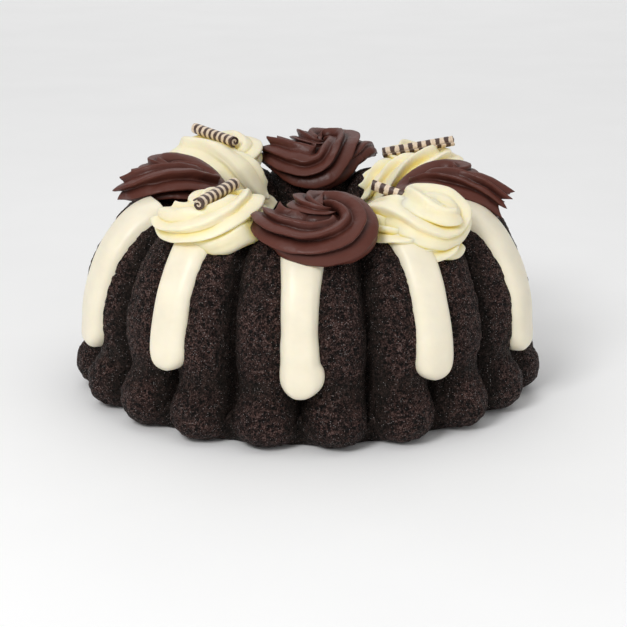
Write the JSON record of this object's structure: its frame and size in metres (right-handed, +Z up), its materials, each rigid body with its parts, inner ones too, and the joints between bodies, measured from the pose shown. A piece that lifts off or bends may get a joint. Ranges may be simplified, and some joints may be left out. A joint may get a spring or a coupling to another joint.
{
  "type": "bundt cake",
  "caption": "Fluted ring cake with a centre hole, cream icing poured down its grooves, a ring of piped rosettes on the crown and striped rolled curls on the pale rosettes.",
  "frame": {"origin": "middle of the cake's footprint, on the plane it stands on", "axes": "+Z up through the centre hole; -Y towards the front, where a chocolate rosette sits over an icing drip; +X to the right"},
  "size_m": [0.2184, 0.2184, 0.1098],
  "materials": {
    "cake": "dark chocolate crumb crust, fine pores, matte to faintly moist",
    "chocolate_icing": "smooth milk-brown chocolate frosting, soft satin sheen on the ridges",
    "cream_icing": "smooth pale cream icing, soft satin",
    "curl": "rolled chocolate with cross bands of brown and cream, satin"
  },
  "bodies": {
    "root": {"cake_body": "cake", "drip_front": "cream_icing", "drip_front_right": "cream_icing", "drip_right": "cream_icing", "drip_back_right": "cream_icing", "drip_back": "cream_icing", "drip_back_left": "cream_icing", "drip_left": "cream_icing", "drip_front_left": "cream_icing", "rosette_front": "chocolate_icing", "rosette_front_right": "cream_icing", "rosette_right": "chocolate_icing", "rosette_back_right": "cream_icing", "rosette_back": "chocolate_icing", "rosette_back_left": "cream_icing", "rosette_left": "chocolate_icing", "rosette_front_left": "cream_icing", "curl_front_left": "curl", "curl_front_right": "curl", "curl_back_right": "curl", "curl_back_left": "curl"}
  },
  "joints": []
}
